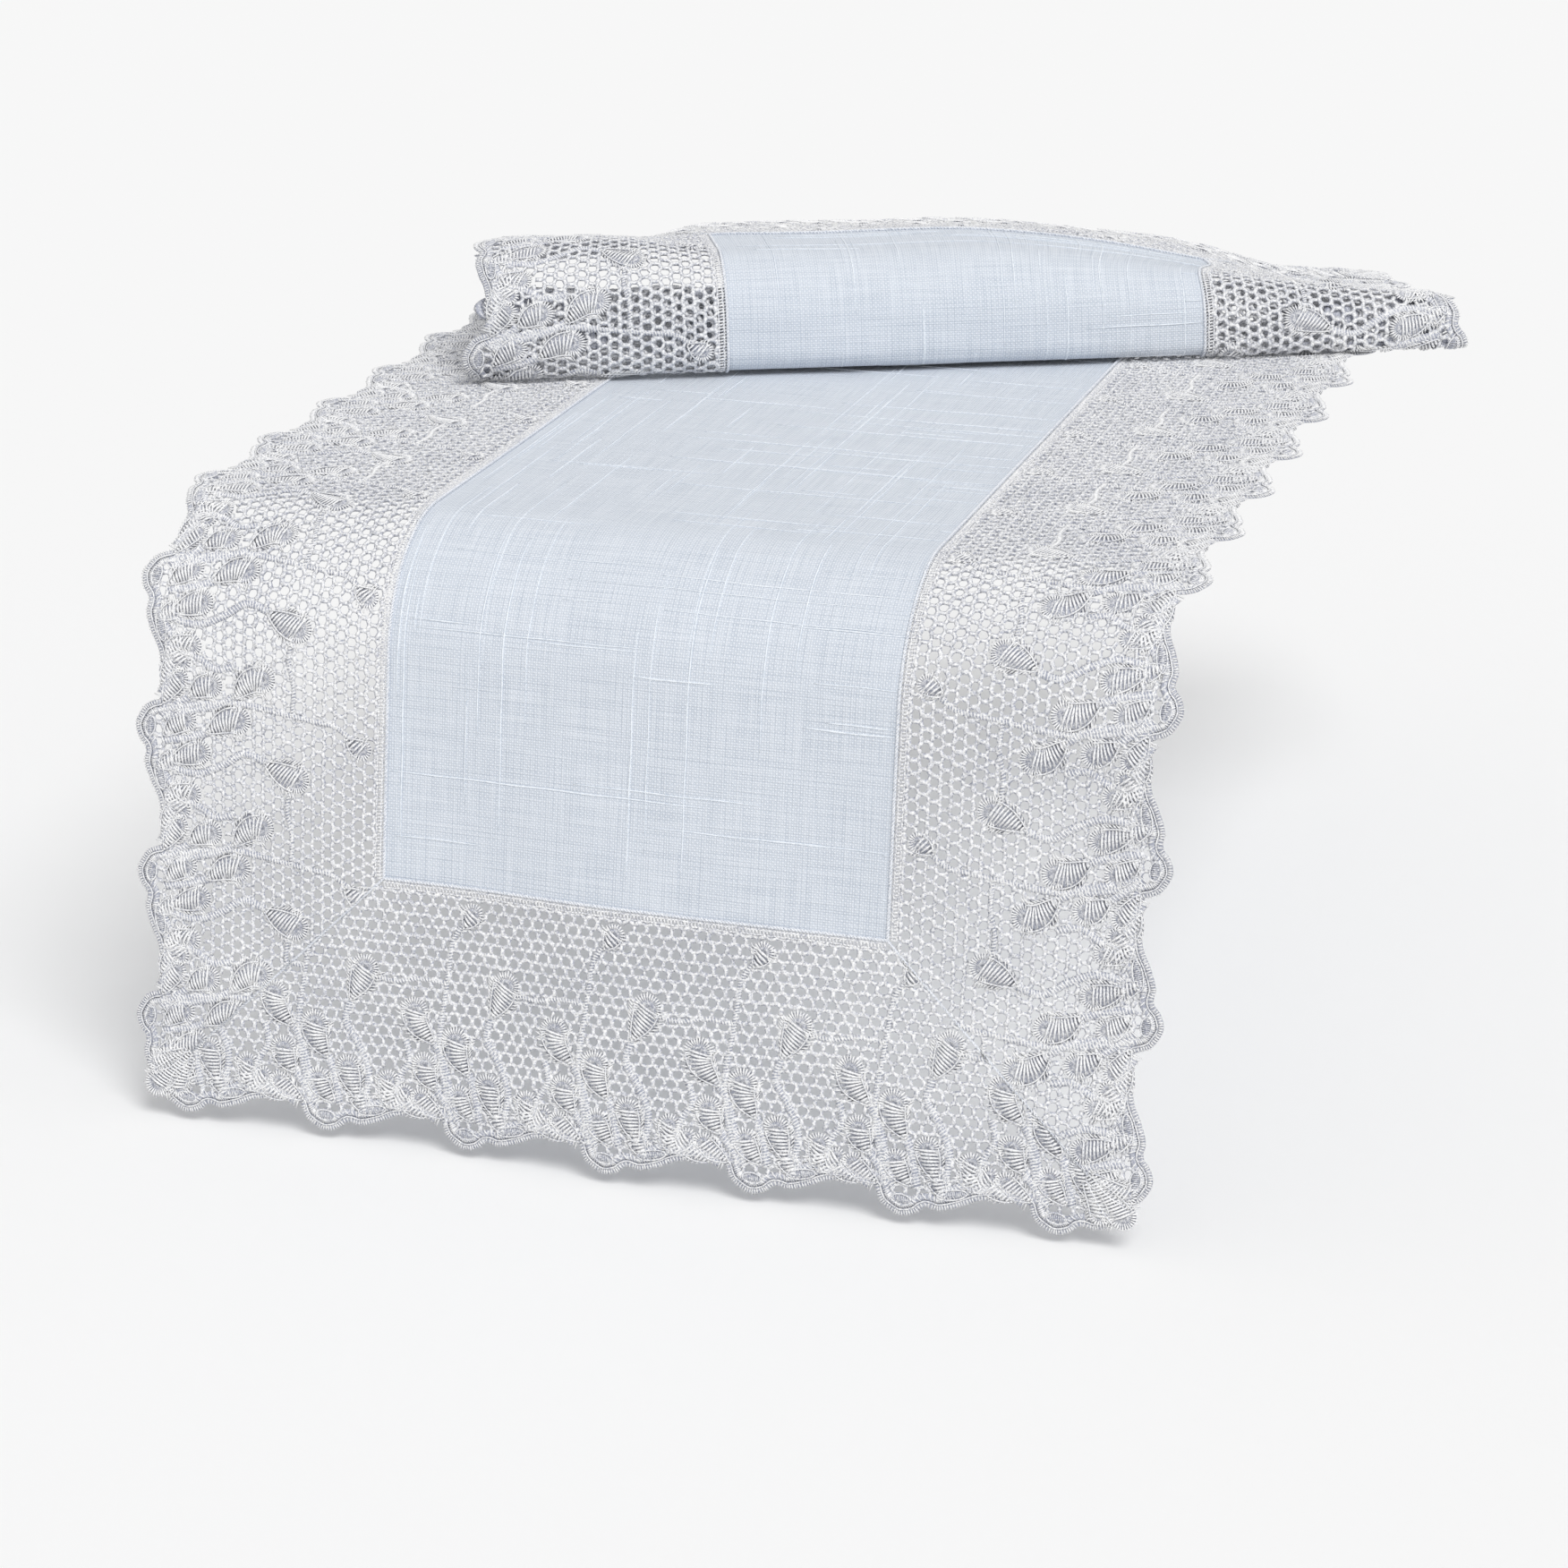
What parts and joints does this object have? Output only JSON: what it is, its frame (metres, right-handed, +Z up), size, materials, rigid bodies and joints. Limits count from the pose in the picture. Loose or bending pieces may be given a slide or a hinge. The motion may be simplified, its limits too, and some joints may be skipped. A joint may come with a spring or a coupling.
{
  "type": "table runner",
  "caption": "Narrow woven runner with a wide lace border all round, draped over a table edge and folded back on itself at the far end.",
  "frame": {"origin": "on the table top, under the centre line of the flat stretch, 120 mm behind the bend over the table edge", "axes": "+X across the cloth, towards the right seen from the drop; +Y along the cloth towards its folded far end; +Z up from the table top"},
  "size_m": [0.4323, 0.5898, 0.278],
  "materials": {
    "panel_cloth": "matt plain weave with slubs",
    "lace_thread": "soft satin sheen, embroidered thread",
    "seam_thread": "matt twisted thread"
  },
  "bodies": {
    "root": {"centre_panel": "panel_cloth", "lace_border_front": "lace_thread", "lace_border_rear": "lace_thread", "lace_border_left": "lace_thread", "lace_border_right": "lace_thread", "seam_thread_front": "seam_thread", "seam_thread_rear": "seam_thread", "seam_thread_left": "seam_thread", "seam_thread_right": "seam_thread", "mitre_seam_front_left": "seam_thread", "mitre_seam_front_right": "seam_thread", "mitre_seam_rear_left": "seam_thread", "mitre_seam_rear_right": "seam_thread"}
  },
  "joints": []
}
